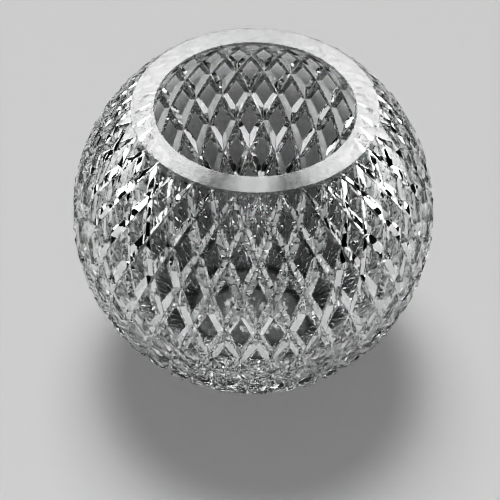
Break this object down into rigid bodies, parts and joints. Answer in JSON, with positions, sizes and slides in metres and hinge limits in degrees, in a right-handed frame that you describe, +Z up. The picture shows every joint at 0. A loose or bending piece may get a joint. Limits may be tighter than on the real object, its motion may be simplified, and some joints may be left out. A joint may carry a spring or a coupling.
{
  "type": "rose bowl vase",
  "caption": "Near-round clear glass rose bowl with a wide mouth, a flat polished rim and an outside cut all over with lozenges, to hold cut flowers and water.",
  "frame": {"origin": "middle of the flat face that the bowl stands on", "axes": "+Z up along the bowl's axis, -Y towards the side seen in the picture"},
  "size_m": [0.1788, 0.1788, 0.1557],
  "materials": {
    "polished_rim": "clear glass, ground flat and polished",
    "cut_glass": "clear glass, mitre cut in lozenges and polished, smooth inside",
    "ground_base": "clear glass, ground flat where it stands"
  },
  "bodies": {
    "root": {"rim": "polished_rim", "cut_wall": "cut_glass", "base": "ground_base"}
  },
  "joints": []
}
